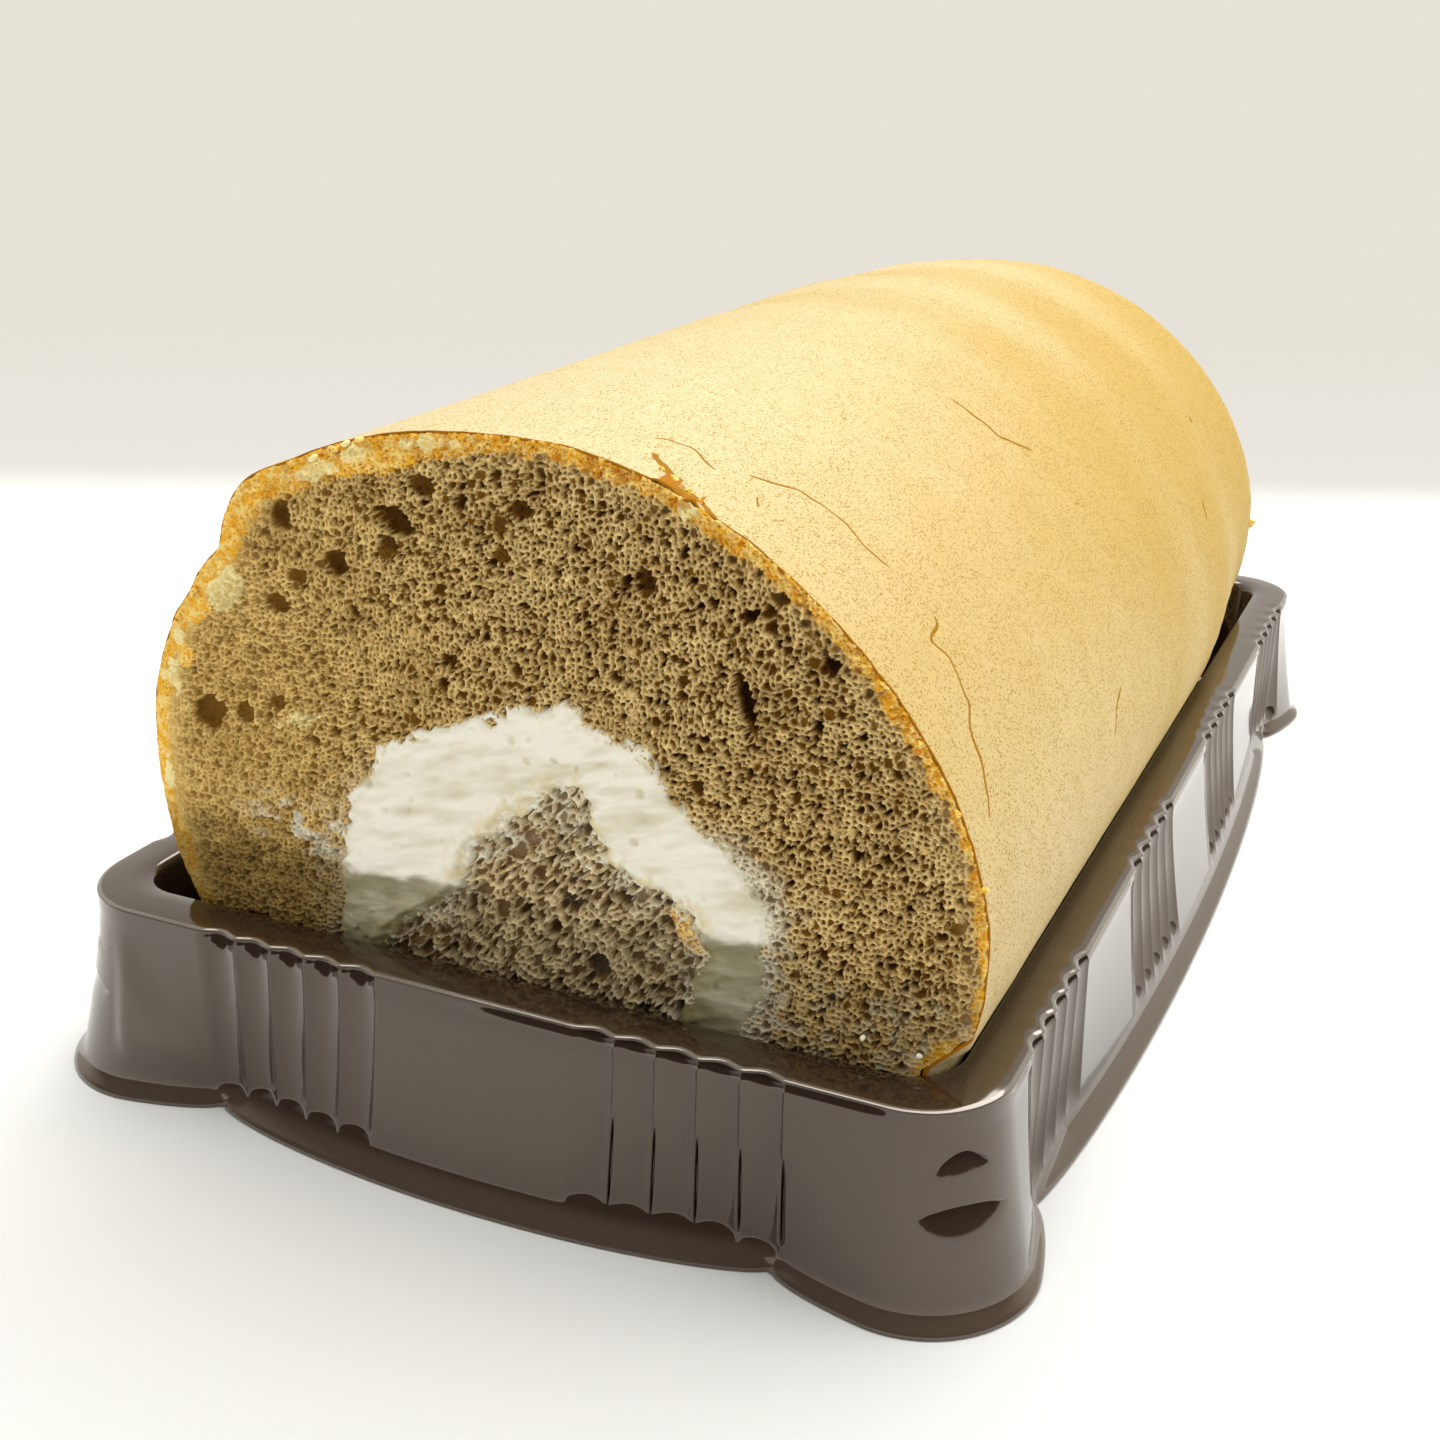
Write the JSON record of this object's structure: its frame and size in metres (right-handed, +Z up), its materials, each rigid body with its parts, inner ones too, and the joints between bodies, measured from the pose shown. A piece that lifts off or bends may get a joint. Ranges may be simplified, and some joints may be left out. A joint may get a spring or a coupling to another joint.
{
  "type": "swiss roll cake",
  "caption": "Cut swiss roll: brown sponge sheet rolled round an arch of cream, resting in a thin fluted brown tray.",
  "frame": {"origin": "on the table under the middle of the tray's foot", "axes": "+X across the roll, +Y along the roll away from the cut face, +Z up"},
  "size_m": [0.12, 0.2004, 0.08],
  "materials": {
    "sponge": "matte porous sponge cake with a pale tan skin",
    "cream": "soft whipped cream, off-white",
    "tray": "thin glossy dark brown thermoformed plastic"
  },
  "bodies": {
    "root": {"sponge": "sponge", "cream": "cream", "tray": "tray"}
  },
  "joints": []
}
